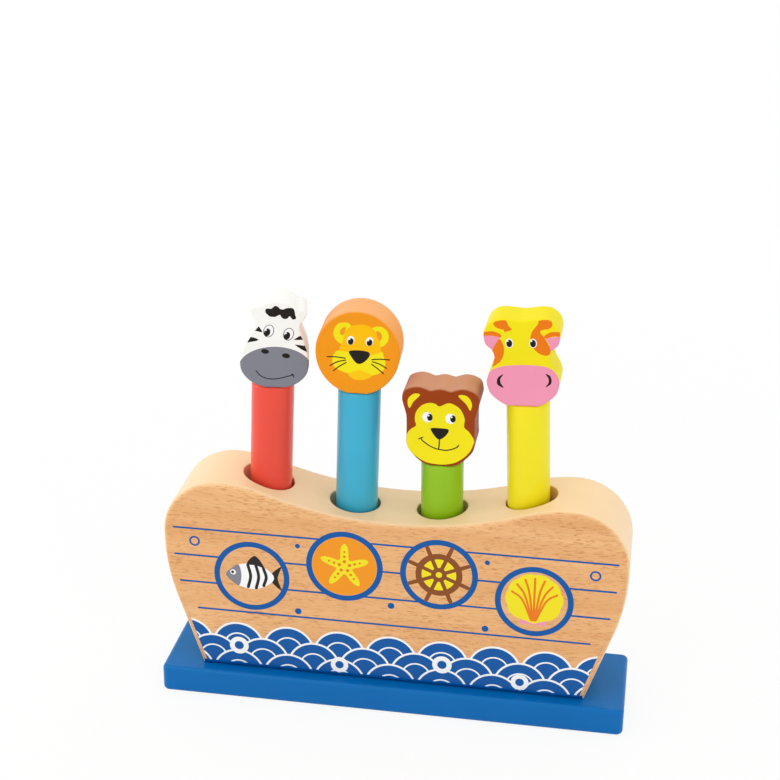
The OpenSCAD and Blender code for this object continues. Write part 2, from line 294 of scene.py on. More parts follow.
def tubePart(path, section, reference, colour):
    # a section of (side, up) offsets carried along a path, with flat ends; reference is roughly up
    along = np.gradient(path, axis=0)
    along /= np.linalg.norm(along, axis=1)[:, None]
    up = reference - np.sum(reference * along, 1)[:, None] * along
    up /= np.linalg.norm(up, axis=1)[:, None]
    side = np.cross(along, up)
    out = section / np.linalg.norm(section, axis=1)[:, None]
    offset = section[None, :, :1] * side[:, None] + section[None, :, 1:] * up[:, None]
    facing = out[None, :, :1] * side[:, None] + out[None, :, 1:] * up[:, None]
    rows = path[:, None] + offset
    zero = path[[0, -1], None] + 0 * offset[[0, -1]]
    ends = np.repeat(along[[0, -1], None], len(section), 1) * np.array([-1, 1])[:, None, None]
    points = np.concatenate([zero[:1], rows[:1], rows, rows[-1:], zero[1:]])
    normals = np.concatenate([ends[:1], ends[:1], facing, ends[1:], ends[1:]])
    return gridPart(points, normals, colour)


def board(outline, half, edge, inks, bare, inkedTo, openWalls=()):
    # a board of that outline in x and z: flat front with its inks, rounded edges, walls, flat back;
    # below the height inkedTo the inks run round the front edge; openWalls are masks of stations
    # whose walls are left out, to be drilled
    place, mitre, normal = stations(outline)
    a = np.radians(np.linspace(90, 0, edgeSteps + 1))[:, None, None]
    inset = edge * (1 - np.cos(a))
    front = place[None] - inset * mitre[None]
    depth = -half + edge * (1 - np.sin(a)) + 0 * front[..., :1]
    lean = np.sin(a) + 0 * front[..., :1]
    facing = np.cos(a) * normal[None]
    rows = np.concatenate([front[..., :1], depth, front[..., 1:]], 2)
    normals = np.concatenate([facing[..., :1], -lean, facing[..., 1:]], 2)
    mirror = np.array([1, -1, 1])
    rows = np.concatenate([rows, rows[::-1] * mirror])
    normals = np.concatenate([normals, normals[::-1] * mirror])
    skip = np.zeros((len(rows) - 1, len(place)), bool)
    parts = []
    for mask in openWalls:
        skip[edgeSteps, np.flatnonzero(mask)[:-1]] = True
    shell = gridPart(rows, normals, bare, skip)
    centre = shell[0][shell[1]].mean(1)
    inked = (centre[:, 1] < -half + 0.95 * edge) & (centre[:, 2] < inkedTo)
    shell[3][inked] = topInk(centre[inked][:, [0, 2]], inks, bare)
    parts.append(shell)
    rim, margin = place - edge * mitre, place - (edge + inkMargin) * mitre
    once = np.concatenate([[True], np.any(place[1:] != place[:-1], 1)])
    for side, sideInks in ((-1, inks), (1, [])):
        found, triangles, colours = flatPatch(rim[once], margin[once], sideInks, [], bare)
        points = np.stack([found[:, 0], np.full(len(found), side * half), found[:, 1]], 1)
        parts.append((points, triangles, np.tile([0.0, side, 0.0], (len(found), 1)), colours))
    return parts


def placed(parts, matrix):  # the same parts, moved; matrix is 4 by 4 in millimetres
    m = np.array(matrix)
    return [(p @ m[:3, :3].T + m[:3, 3], t, n @ m[:3, :3].T, c) for p, t, n, c in parts]


def makePiece(name, parts, material, body, replaces=()):
    # welds the parts into one closed mesh, faces outwards, with the normals that the formulas give
    sizes = np.cumsum([0] + [len(p[0]) for p in parts])
    points = np.concatenate([p[0] for p in parts])
    normals = np.concatenate([p[2] for p in parts])
    triangles = np.concatenate([p[1] + start for p, start in zip(parts, sizes)])
    colours = np.concatenate([p[3] for p in parts])
    _, first, weld = np.unique(np.round(points / weldStep).astype(np.int64), axis=0,
                               return_index=True, return_inverse=True)
    weld = weld.reshape(-1)
    joined = weld[triangles]
    a, b, c = joined.T
    real = (a != b) & (b != c) & (a != c)
    joined, triangles, colours = joined[real], triangles[real], colours[real]
    used, joined = np.unique(joined, return_inverse=True)  # points that no triangle uses go
    joined = joined.reshape(-1, 3)
    places, loopNormals = points[first][used], normals[triangles]
    a, b, c = (places[joined[:, corner]] for corner in range(3))
    inward = np.sum(np.cross(b - a, c - a) * loopNormals.sum(1), 1) < 0
    joined[inward] = joined[inward][:, ::-1]
    loopNormals[inward] = loopNormals[inward][:, ::-1]
    mesh = bpy.data.meshes.new(name)
    mesh.from_pydata((places * mm).tolist(), [], joined.tolist())
    mesh.polygons.foreach_set("use_smooth", np.ones(len(joined), bool))
    paint = mesh.attributes.new("paint", "FLOAT_COLOR", "CORNER")
    paint.data.foreach_set("color", np.repeat(colours, 3, axis=0).astype(np.float32).ravel())
    mesh.normals_split_custom_set(loopNormals.reshape(-1, 3).tolist())
    mesh.materials.append(material)
    piece = bpy.data.objects.new(name, mesh)
    bpy.context.scene.collection.objects.link(piece)
    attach(piece, body)
    if replaces:
        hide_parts(*replaces)
    return piece


# finishes

def add(tree, kind, values=None, **settings):  # a node, its settings, its inputs' values or links
    node = tree.nodes.new("ShaderNode" + kind)
    for key, value in settings.items():
        setattr(node, key, value)
    for key, value in (values or {}).items():
        if isinstance(value, bpy.types.NodeSocket):
            tree.links.new(value, node.inputs[key])
        else:
            node.inputs[key].default_value = value
    return node


def newMaterial(name, **sockets):
    material = bpy.data.materials.new(name)
    material.use_nodes = True
    tree = material.node_tree
    shader = tree.nodes["Principled BSDF"]
    for key, value in sockets.items():
        shader.inputs[key.replace("_", " ")].default_value = value
    return material, tree, shader


def stretchedNoise(tree, scale, detail=3.0, roughness=0.5, distortion=0.0):
    # noise on Object coordinates, with a frequency for each axis in turns per metre
    place = add(tree, "TexCoord").outputs["Object"]
    mapped = add(tree, "Mapping", {"Vector": place, "Scale": scale})
    noise = add(tree, "TexNoise", {"Vector": mapped.outputs[0], "Scale": 1.0, "Detail": detail,
                                   "Roughness": roughness, "Distortion": distortion})
    return noise.outputs["Fac"]


def spread(tree, value, low, high, fromLow=0.3, fromHigh=0.7):
    return add(tree, "MapRange", {"Value": value, "From Min": fromLow, "From Max": fromHigh,
                                  "To Min": low, "To Max": high}).outputs["Result"]


def mixColour(tree, share, a, b, blend="MIX"):
    node = add(tree, "Mix", {0: share, 6: a, 7: b}, data_type="RGBA", blend_type=blend)
    return node.outputs[2]


def bumped(tree, shader, height, strength, distance):
    bump = add(tree, "Bump", {"Height": height, "Strength": strength, "Distance": distance})
    tree.links.new(bump.outputs[0], shader.inputs["Normal"])


# the pale colour and the facing range at the end give the painted sheen on head tops
paintLook = {"roughness": (0.28, 0.40), "coatRoughness": 0.12, "coatIor": 1.3,
             "grainBump": 0.05, "grainDepth": 0.0001, "grainFineness": 12,
             "tone": (0.965, 1.01), "clouds": (45, 45, 45),
             "topSheen": srgb(255, 205, 165), "topSheenFacing": (0.1, 0.9)}


def paintedWood(name, colour=None, grain=(60, 60, 6), specular=0.2, coat=0.45, topSheen=0.0):
    # brushed and sanded paint over beech, with the grain faint in it; colour None reads the print;
    # the last argument is how much painted sheen pales the paint on top, for the light the tops
    # catch
    material, tree, shader = newMaterial(name, Specular_IOR_Level=specular, Coat_Weight=coat,
                                         Coat_Roughness=paintLook["coatRoughness"],
                                         Coat_IOR=paintLook["coatIor"])
    if colour is None:
        base = add(tree, "Attribute", attribute_name="paint").outputs["Color"]
    else:
        base = add(tree, "RGB").outputs[0]
        base.default_value = colour
    fibre = stretchedNoise(tree, tuple(paintLook["grainFineness"] * g for g in grain), detail=2)
    cloud = stretchedNoise(tree, paintLook["clouds"], detail=2)
    tone = spread(tree, cloud, *paintLook["tone"])
    grey = add(tree, "CombineColor", {0: tone, 1: tone, 2: tone}).outputs[0]
    # painted sheen: paint that faces up is mixed toward a pale colour, for the light the tops catch
    if topSheen:
        normal = add(tree, "TexCoord").outputs["Normal"]
        upwards = add(tree, "SeparateXYZ", {0: normal}).outputs["Z"]
        sheenShare = spread(tree, upwards, 0, topSheen, *paintLook["topSheenFacing"])
        base = mixColour(tree, sheenShare, base, paintLook["topSheen"])
    tree.links.new(mixColour(tree, 1.0, base, grey, "MULTIPLY"), shader.inputs["Base Color"])
    tree.links.new(spread(tree, fibre, *paintLook["roughness"]), shader.inputs["Roughness"])
    bumped(tree, shader, fibre, paintLook["grainBump"], paintLook["grainDepth"])
    return material


beechLook = {"pale": srgb(240, 190, 135), "deep": srgb(226, 167, 110), "fleck": srgb(196, 130, 76),
             "cutAcross": srgb(250, 221, 176), "acrossShare": 0.8, "facing": (0.4, 0.9),
             "shine": (0.30, 0.42), "specular": 0.15, "coat": 0.15, "coatRoughness": 0.15,
             "band": (8, 70, 110), "bandBend": 0.4,
             "streak": (45, 420, 900), "streakShare": (0, 0.6), "streakEdge": (0.42, 0.7),
             "fleckSize": (300, 120, 1900), "fleckEdge": (0.53, 0.70),
             "cloud": (25, 60, 90), "fleckStrength": (0.3, 0.95), "bump": 0.05, "bumpDepth": 0.0001}


def beech(name, printed=True):
    # beech with its grain along X: broad bands, fine streaks, and rays that show as short flecks on
    # the front and the back only; the deck and the ends, cut the other way, are paler and plain
    material, tree, shader = newMaterial(name, Specular_IOR_Level=beechLook["specular"],
                                         Coat_Weight=beechLook["coat"],
                                         Coat_Roughness=beechLook["coatRoughness"])
    facing = add(tree, "SeparateXYZ", {0: add(tree, "TexCoord").outputs["Normal"]}).outputs["Y"]
    facing = add(tree, "Math", {0: facing}, operation="ABSOLUTE").outputs[0]
    facing = spread(tree, facing, 0, 1, *beechLook["facing"])
    band = stretchedNoise(tree, beechLook["band"], detail=3, distortion=beechLook["bandBend"])
    streak = stretchedNoise(tree, beechLook["streak"], detail=4, roughness=0.65)
    ray = stretchedNoise(tree, beechLook["fleckSize"], detail=1)
    wood = mixColour(tree, spread(tree, band, 0, 1), beechLook["pale"], beechLook["deep"])
    streaked = spread(tree, streak, *beechLook["streakShare"], *beechLook["streakEdge"])
    wood = mixColour(tree, streaked, wood, beechLook["deep"])
    across = spread(tree, facing, beechLook["acrossShare"], 0, 0, 1)
    wood = mixColour(tree, across, wood, beechLook["cutAcross"])
    dense = spread(tree, stretchedNoise(tree, beechLook["cloud"]), *beechLook["fleckStrength"])
    fleck = spread(tree, ray, 0, 1, *beechLook["fleckEdge"])
    for share in (facing, dense):
        fleck = add(tree, "Math", {0: fleck, 1: share}, operation="MULTIPLY").outputs[0]
    wood = mixColour(tree, fleck, wood, beechLook["fleck"])
    rough = spread(tree, streak, *beechLook["shine"])
    if printed:
        ink = add(tree, "Attribute", attribute_name="paint")
        wood = mixColour(tree, ink.outputs["Alpha"], wood, ink.outputs["Color"])
    tree.links.new(wood, shader.inputs["Base Color"])
    tree.links.new(rough, shader.inputs["Roughness"])
    bumped(tree, shader, streak, beechLook["bump"], beechLook["bumpDepth"])
    return material


steelLook = {"dull": 0.8, "rougher": 0.15, "bump": 0.1, "bumpDepth": 0.00005}


def steel(name, colour, roughness, scale):  # drawn or plated metal with fine lines
    material, tree, shader = newMaterial(name, Metallic=1.0)
    line = stretchedNoise(tree, scale, detail=3, roughness=0.6)
    dull = tuple(steelLook["dull"] * c for c in colour[:3]) + (1,)
    drawn = mixColour(tree, spread(tree, line, 0, 1), colour, dull)
    rough = spread(tree, line, roughness, roughness + steelLook["rougher"])
    tree.links.new(drawn, shader.inputs["Base Color"])
    tree.links.new(rough, shader.inputs["Roughness"])
    bumped(tree, shader, line, steelLook["bump"], steelLook["bumpDepth"])
    return material


bare = srgb(240, 200, 150, 0.0)  # no ink: the wood shows
inkColours = {
    "black": srgb(38, 34, 32), "white": srgb(246, 246, 246), "grey": srgb(130, 131, 141),
    "yellow": srgb(240, 224, 30), "orange": srgb(233, 122, 24), "pink": srgb(238, 150, 178),
    "zebra": srgb(246, 245, 240), "lion": srgb(240, 150, 28), "monkey": srgb(153, 65, 22),
    "giraffe": srgb(240, 223, 28), "amber": srgb(250, 188, 18), "chin": srgb(248, 196, 20),
    "brown": srgb(136, 76, 34), "blue": srgb(0, 86, 160)}
beechWood = beech("lacqueredBeech")
bareWood = beech("bareBeech", printed=False)
springSteel = steel("springWire", (0.62, 0.62, 0.63, 1), 0.22, (300, 300, 900))
screwSteel = steel("zincScrew", (0.70, 0.70, 0.68, 1), 0.28, (200, 200, 200))
bluePaint = paintedWood("bluePaint", srgb(0, 106, 178), grain=(6, 60, 60), specular=0.1, coat=0.3)
dowelPaints = {  # slot and colour
    "zebra": ("red_peg_paint", srgb(233, 76, 58)), "lion": ("blue_peg_paint", srgb(58, 172, 206)),
    "monkey": ("green_peg_paint", srgb(142, 190, 18)),
    "giraffe": ("yellow_peg_paint", srgb(240, 226, 18))}
headPaints = {  # slot, and how much painted sheen pales the top
    "zebra": ("white_paint", 0.0), "lion": ("orange_paint", 0.45),
    "monkey": ("brown_paint", 0.45), "giraffe": ("yellow_head_paint", 0.0)}
print("materials made")


# base plate and its screws

lowest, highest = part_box("base_plate")
plate = {"length": (highest.x - lowest.x) / mm, "depth": (highest.y - lowest.y) / mm,
         "thickness": highest.z / mm, "edge": 2.0, "corner": 3.2}
screws = {"spacing": 82, "head": 7.1, "shank": 3.6, "sink": 0.3, "cone": 1.75, "holeDepth": 17.5}


def plateParts():
    # rounded rectangle in plan, edges rounded above and below, a countersunk hole for each screw
    r = plate["corner"]
    x, y = plate["length"] / 2 - r, plate["depth"] / 2 - r
    corners = ((1, 1, 0), (-1, 1, 90), (-1, -1, 180), (1, -1, 270))
    outline = np.concatenate([arc(sx * x, sy * y, r, start, start + 90, 6)
                              for sx, sy, start in corners])
    half = plate["thickness"] / 2
    across = [screws["spacing"] * k for k in (-1, 0, 1)]
    place, mitre, normal = stations(outline)
    a = np.radians(np.linspace(90, 0, edgeSteps + 1))[:, None, None]
    front = place[None] - plate["edge"] * (1 - np.cos(a)) * mitre[None]
    height = half - plate["edge"] * (1 - np.sin(a)) + 0 * front[..., :1]
    rows = np.concatenate([front, height], 2)
    normals = np.concatenate([np.cos(a) * normal[None], np.sin(a) + 0 * height], 2)
    mirror = np.array([1, 1, -1])
    parts = [gridPart(np.concatenate([rows, rows[::-1] * mirror]),
                      np.concatenate([normals, normals[::-1] * mirror]), bare)]
    rim, margin = place - plate["edge"] * mitre, place - (plate["edge"] + inkMargin) * mitre
    for side, radius in ((1, screws["shank"] / 2), (-1, screws["head"] / 2)):
        cuts = [ellipse(cx, 0, radius, radius, count=holeSides) for cx in across]
        found, triangles, colours = flatPatch(rim, margin, [], cuts, bare)
        points = np.concatenate([found, np.full((len(found), 1), side * half)], 1)
        parts.append((points, triangles, np.tile([0.0, 0.0, side], (len(found), 1)), colours))
    shank, head = screws["shank"] / 2, screws["head"] / 2
    profile = [(shank, half), (shank, screws["sink"] + screws["cone"] - half),
               (head, screws["sink"] - half), (head, -half)]
    for cx in across:
        parts.append(turned(profile, (cx, 0), bare, count=holeSides))
    return placed(parts, Matrix.Translation((0, 0, half)))


makePiece("basePlate", plateParts(), bluePaint, "boat", ["base_plate"])
for side in ("left", "middle", "right"):
    screw = frame["nodes"]["screw_" + side]
    screw.data.materials.clear()
    screw.data.materials.append(screwSteel)
print("base plate made")


# the boat-shaped block and its print

boat = {"thickness": 39, "footLength": 182, "length": 216, "peakHeight": 96.7, "widestDepth": 29.7,
        "sheer": 13.8, "cornerRadius": 27, "endRadius": 100, "hollowRadius": 184, "edge": 2.6,
        "pitch": 41, "bore": 23.5, "boreRim": 0.6,
        "arcStep": 1.5, "cornerStep": 3, "hollowStep": 0.8, "crestFrom": 92, "footStep": 0.65}


def boatOutline():
    # right half from arcs: end, outer corner, crest, hollow deck; then mirrored
    b = boat
    cornerX = b["length"] / 2 - b["cornerRadius"]
    crest = (cornerX**2 + b["sheer"]**2) / (2 * b["sheer"]) - b["hollowRadius"]
    join = math.degrees(math.asin(cornerX / (b["hollowRadius"] + crest)))
    endX, widest = b["length"] / 2 - b["endRadius"], b["peakHeight"] - b["widestDepth"]
    footX = b["footLength"] / 2 - endX
    touching = math.acos(b["endRadius"] / math.hypot(footX, widest))
    endAngle = math.degrees(math.atan2(-widest, footX) + touching)
    half = np.concatenate([
        [[b["footLength"] / 2, 0]],
        arc(endX, widest, b["endRadius"], endAngle, 0, b["arcStep"]),
        arc(cornerX, b["peakHeight"] - b["cornerRadius"], b["cornerRadius"], 0, 90,
            b["cornerStep"]),
        arc(cornerX, b["peakHeight"] - crest, crest, b["crestFrom"], 90 + join, b["arcStep"]),
        arc(0, b["peakHeight"] - b["sheer"] + b["hollowRadius"], b["hollowRadius"],
            join - (90 + b["hollowStep"]), -90, b["hollowStep"])])
    foot = np.arange(-b["footLength"] / 2, b["footLength"] / 2, b["footStep"])[1:]
    whole = np.concatenate([half, (half * [-1, 1])[-2::-1], np.stack([foot, 0 * foot], 1)])
    return np.roll(whole, -np.argmin(whole[:, 0]), axis=0)  # starts at the left end, clear of bores


sea = {"top": 24.5, "row": 7.4, "scale": 12.6, "spacing": 0.97, "still": 2.4,
       "rings": ((1.0, "white"), (0.92, "blue"), (0.55, "white"), (0.49, "blue")),
       "bubbles": ((-73, 11.9, 4.6), (-24.4, 6.5, 4.2), (24.4, 11.9, 4.6), (61, 6.5, 4.2)),
       "bubbleMiddle": 0.48}
ports = {"places": ((-66, 50), (-22, 59.5), (22, 59.5), (66, 50)), "outer": 18, "inner": 15.3,
         "motif": 1.13}
planks = {"lines": ((30.5, 9), (44.5, 5), (58.5, 5), (72.5, 5)),  # heights and insets
          "width": 0.95,
          "dots": ((-44, 33.5, 1.6), (0, 41, 1.6), (44, 33.5, 1.6), (-44, 68, 1.2), (44, 68, 1.2)),
          "rings": ((-93, 66), (93, 66)), "ringSize": (2.6, 1.7)}
fish = {"body": [(-11, 0), (-6, 4.6), (1, 6), (7, 3.4), (9.4, 0), (7, -3.4), (1, -6), (-6, -4.6)],
        "head": [(-11, 0), (-8.6, 3), (-5.5, 4.8), (-4.4, 0), (-5.5, -4.8), (-8.6, -3)],
        "tail": [(7.5, 0), (12.5, 5.6), (11, 0), (12.5, -5.6)],
        "fin": [(-2, 5.7), (1.6, 9.6), (5.4, 4.4), (2, 5.2)],
        "stripes": ((-1.6, 5.2), (1.8, 5.4), (5, 4)), "stripeBend": 1.1, "stripeWidth": 1.3,
        "eye": (-7.9, 1.2, 1.2, 1.2), "pupil": (-8.1, 1.2, 0.6, 0.7)}
starfish = {"disc": 13.4, "middle": 6.3, "arms": 5, "reach": 3.4, "tips": 0.7,
            "dots": ((2.2, 0.75), (4.5, 0.6), (6.7, 0.5))}
wheel = {"spokes": 8, "handle": (2, 7, 13), "handleWidth": 2.1, "handleTaper": 0.2,
         "spoke": (2, 5, 7.6), "spokeWidth": 1.6, "rim": (9.6, 7.1), "hub": (3.2, 1.3)}
scallop = {"fan": (-52, 232), "radius": 11.2, "scalloping": 0.55, "scallops": 8,
           "root": (0.0, -10.2), "hinge": [(-5.6, -10.6), (5.6, -10.6), (4.4, -6.6), (-4.4, -6.6)],
           "ribs": 3, "ribTurn": 24, "ribFoot": (0.3, -8.6), "ribMiddle": (5.2, 5.4), "ribTip": 9.6,
           "ribWidth": 0.9}


def boatReach(height):  # half the block's length at a height, for the print's ends
    outline = boatOutline()
    side = outline[outline[:, 0] > boat["footLength"] / 2 - 1]
    side = side[np.argsort(side[:, 1])]
    return float(np.interp(height, side[:, 1], side[:, 0]))


def disc(cx, cy, radius, count):
    return ellipse(cx, cy, radius, radius, count=count)


def seaInks():
    # rows of overlapping round scales, the old fish-scale wave: each is rings about a grid's point
    made = []
    size = sea["scale"]
    count = int(boat["length"] / 2 / size) + 1
    for row in range(int(sea["top"] / sea["row"]) + 1):
        height = sea["top"] - size - row * sea["row"]
        reach = boatReach(max(height, 0)) + size
        for k in range(-count, count + 1):
            cx = (k + 0.5 * (row % 2)) * 2 * size * sea["spacing"]
            if abs(cx) <= reach:
                made += [(colour, disc(cx, height, share * size, 64))
                         for share, colour in sea["rings"]]
    return made


def fishInks():  # a striped fish
    bend = fish["stripeBend"]
    made = [("black", closedCurve(fish["tail"])), ("white", closedCurve(fish["body"])),
            ("grey", closedCurve(fish["head"])), ("black", closedCurve(fish["fin"]))]
    for x, h in fish["stripes"]:
        made.append(("black", stroke([(x, -h), (x + bend, 0), (x, h)], fish["stripeWidth"])))
    return made + [("white", ellipse(*fish["eye"])), ("black", ellipse(*fish["pupil"]))]


def starInks():
    # a starfish on a disc: its radius is middle + reach cos 5t + tips cos 10t, t from an arm's tip
    t = np.arange(200) * 2 * np.pi / 200
    fromTip = t - np.pi / 2
    arms = starfish["arms"]
    r = (starfish["middle"] + starfish["reach"] * np.cos(arms * fromTip)
         + starfish["tips"] * np.cos(2 * arms * fromTip))
    made = [("lion", disc(0, 0, starfish["disc"], 90)),
            ("yellow", np.stack([r * np.cos(t), r * np.sin(t)], 1))]
    for arm in range(arms):
        a = math.radians(90 + 360 / arms * arm)
        made += [("orange", disc(radius * math.cos(a), radius * math.sin(a), size, 20))
                 for radius, size in starfish["dots"]]
    return made


def spokeInks(along, width, taper=0.0):  # a line along each spoke, through points at those radii
    made = []
    for spoke in range(wheel["spokes"]):
        a = math.radians(360 / wheel["spokes"] * (spoke + 0.5))
        points = [(r * math.cos(a), r * math.sin(a)) for r in along]
        made.append(("brown", stroke(points, width, taper=taper)))
    return made


def wheelInks():  # a ship's wheel
    (rimOuter, rimInner), (hubOuter, hubInner) = wheel["rim"], wheel["hub"]
    return [*spokeInks(wheel["handle"], wheel["handleWidth"], wheel["handleTaper"]),
            ("brown", disc(0, 0, rimOuter, 80)), ("yellow", disc(0, 0, rimInner, 70)),
            *spokeInks(wheel["spoke"], wheel["spokeWidth"]),
            ("brown", disc(0, 0, hubOuter, 48)), ("yellow", disc(0, 0, hubInner, 48))]


def shellInks():
    # a scallop shell: a fan of radius + scalloping |sin| about (0, 1), with ribs from its root
    t = np.radians(np.linspace(*scallop["fan"], 120))
    wave = np.abs(np.sin(np.linspace(0, scallop["scallops"] * np.pi, 120)))
    r = scallop["radius"] + scallop["scalloping"] * wave
    fan = np.concatenate([[scallop["root"]], np.stack([r * np.cos(t), 1 + r * np.sin(t)], 1)])
    made = [("pink", np.array(scallop["hinge"])), ("yellow", fan)]
    foot, middle, tip = scallop["ribFoot"], scallop["ribMiddle"], scallop["ribTip"]
    for k in range(-scallop["ribs"], scallop["ribs"] + 1):
        a = math.radians(90 - scallop["ribTurn"] * k)
        c, s = math.cos(a), math.sin(a)
        rib = [(foot[0] * k, foot[1]), (middle[0] * c, -1 + middle[1] * s), (tip * c, 1 + tip * s)]
        made.append(("orange", stroke(rib, scallop["ribWidth"])))
    return made


def boatInks():
    # plank lines, portholes with their motifs, dots and rings, and the sea over their lower part
    made = []
    for height, inset in planks["lines"]:
        reach = boatReach(height) - inset
        line = [(-reach, height), (0, height), (reach, height)]
        made.append(("blue", stroke(line, planks["width"])))
    for (cx, cy), motif in zip(ports["places"], (fishInks, starInks, wheelInks, shellInks)):
        made.append(("blue", disc(cx, cy, ports["outer"], 100)))
        made.append(("bare", disc(cx, cy, ports["inner"], 96)))
        made += [(colour, ports["motif"] * np.asarray(p) + (cx, cy)) for colour, p in motif()]
    made += [("blue", disc(cx, cy, radius, 32)) for cx, cy, radius in planks["dots"]]
    ringOuter, ringInner = planks["ringSize"]
    for cx, cy in planks["rings"]:
        made.append(("blue", disc(cx, cy, ringOuter, 40)))
        made.append(("bare", disc(cx, cy, ringInner, 36)))
    made += seaInks()
    reach, still = boat["footLength"] / 2 + 3, sea["still"]
    made.append(("blue", np.array([(-reach, -1), (reach, -1), (reach, still), (-reach, still)])))
    for cx, cy, radius in sea["bubbles"]:
        made.append(("white", disc(cx, cy, radius, 48)))
        made.append(("blue", disc(cx, cy, sea["bubbleMiddle"] * radius, 36)))
    return [(bare if colour == "bare" else inkColours[colour], p) for colour, p in made]


def boatParts():
    outline = boatOutline()
    place, _, normal = stations(outline)
    half, edge, radius, rim = boat["thickness"] / 2, boat["edge"], boat["bore"] / 2, boat["boreRim"]
    deck, foot = normal[:, 1] > 0.5, normal[:, 1] < -0.99
    bores = [(k - 1.5) * boat["pitch"] for k in range(4)]
    pilots = [screws["spacing"] * k for k in (-1, 0, 1)]
    turn = np.arange(holeSides) * 2 * np.pi / holeSides
    parts = board(outline, half, edge, boatInks(), bare, edge, openWalls=(deck, foot))
    strip, rings = drilledStrip(place[deck], normal[deck], half - edge,
                                [(cx, radius + rim, turn) for cx in bores], bare)
    parts.append(strip)
    parts += [drilledHole(ring, cx, radius, rim, 0.0, bare) for ring, cx in zip(rings, bores)]
    below = [(cx, radius, np.arctan2(ring[:, 1], ring[:, 0] - cx))
             for ring, cx in zip(rings, bores)]
    below += [(cx, screws["shank"] / 2, turn) for cx in pilots]
    strip, rings = drilledStrip(place[foot], normal[foot], half - edge, below, bare, level=True)
    parts.append(strip)
    parts += [drilledHole(ring, cx, screws["shank"] / 2, 0, screws["holeDepth"], bare, closed=True)
              for ring, cx in zip(rings[4:], pilots)]
    return placed(parts, Matrix.Translation((0, 0, plate["thickness"])))


makePiece("boatBlock", boatParts(), beechWood, "boat", ["hull"])
print("boat block made")


# pegs: each is built about its own axis, from the deck's height, and then put on its turning joint

pegs = {"foot": 70.5, "seat": (141.8, 141.8, 109.4, 141.8), "turn": (12, 3, 0, -1), "dowel": 19.5,
        "topRadius": 1.5, "footRadius": 1.0, "pinHole": 4.05, "pinLength": 24, "pinEnd": 0.2}
heads = {"thickness": 18, "edge": 1.0, "chinFlat": 0.5, "width": (30.8, 37.8, 34.8, 33.4),
         "height": (41.9, 40, 39.2, 41.5), "tilt": (2.8, -1, 0, -1.2), "shift": (0, 0, 0, -1.2),
         "grain": (40, 40, 10), "specular": 0.0, "coat": 0.25}
halfOutlines = {  # from chin to crown, as shares of half the width and of the height
    "zebra": [(0, 0), (0.42, 0.025), (0.715, 0.08), (0.93, 0.17), (1, 0.27), (0.975, 0.395),
              (0.885, 0.51), (0.755, 0.615), (0.67, 0.7), (0.675, 0.76), (0.78, 0.82), (0.83, 0.88),
              (0.73, 0.92), (0.56, 0.93), (0.43, 0.965), (0.23, 0.993), (0, 1)],
    "monkey": [(0, 0), (0.28, 0.015), (0.52, 0.055), (0.8, 0.18), (0.89, 0.28), (0.885, 0.385),
               (0.885, 0.59), (0.915, 0.67), (0.975, 0.765), (1, 0.845), (0.935, 0.94),
               (0.75, 0.985), (0.56, 0.997), (0.4, 0.98), (0.26, 0.96), (0.12, 0.975), (0, 0.983)],
    "giraffe": [(0, 0), (0.29, 0.008), (0.515, 0.03), (0.84, 0.135), (0.957, 0.262), (0.91, 0.365),
                (0.79, 0.468), (0.735, 0.566), (0.8, 0.646), (0.945, 0.704), (1, 0.788),
                (0.975, 0.872), (0.87, 0.94), (0.7, 0.986), (0.51, 0.998), (0.29, 0.99),
                (0, 0.978)]}


def leanOf(k):  # of the peg's axis, from upright, in radians
    axis = joints[animals[k] + "_turn"]["axis"]
    return math.atan2(axis[0], axis[2])


def onPeg(k):  # the peg's frame in millimetres: its joint's place and lean, and its own turn
    place = Vector(joints[animals[k] + "_turn"]["pos_m"]) / mm
    return (Matrix.Translation(place) @ Matrix.Rotation(leanOf(k), 4, "Y")
            @ Matrix.Rotation(math.radians(pegs["turn"][k]), 4, "Z"))


def fromDeck(k, height):  # a height above the base plate, in the peg's own frame
    return height + plate["thickness"] - joints[animals[k] + "_turn"]["pos_m"][2] / mm


def headOutline(k):
    width, height = heads["width"][k], heads["height"][k]
    if animals[k] == "lion":
        run = ellipse(0, height / 2, width / 2, height / 2, count=240)
    else:
        half = np.array(halfOutlines[animals[k]]) * (width / 2, height)
        run = closedCurve(np.concatenate([half, (half * (-1, 1))[-2:0:-1]]), 8)
    return tilted(run, k)


def tilted(points, k, flat=True):  # tilted about the chin, shifted, and cut flat for the dowel
    a = math.radians(-heads["tilt"][k])
    x, z = np.asarray(points, float).T
    turnedX = math.cos(a) * x - math.sin(a) * z + heads["shift"][k]
    turnedZ = math.sin(a) * x + math.cos(a) * z
    if flat:
        turnedZ = np.maximum(turnedZ, heads["chinFlat"])
    return np.stack([turnedX, turnedZ], 1)


def eyes(whites, pupils, glints, white, pupil, glint, turn=0.0):
    # white ovals, dark pupils and a glint in each: first the middles, left and right, then sizes
    made = {}
    for side, place in zip(("left", "right"), whites):
        made[side + "White"] = ("white", ellipse(*place, *white, turn))
    for side, place in zip(("left", "right"), pupils):
        made[side + "Pupil"] = ("black", ellipse(*place, *pupil, turn))
    for side, place in zip(("left", "right"), glints):
        made[side + "Glint"] = ("white", ellipse(*place, glint, glint, count=20))
    return made


whisker = 0.55  # its width

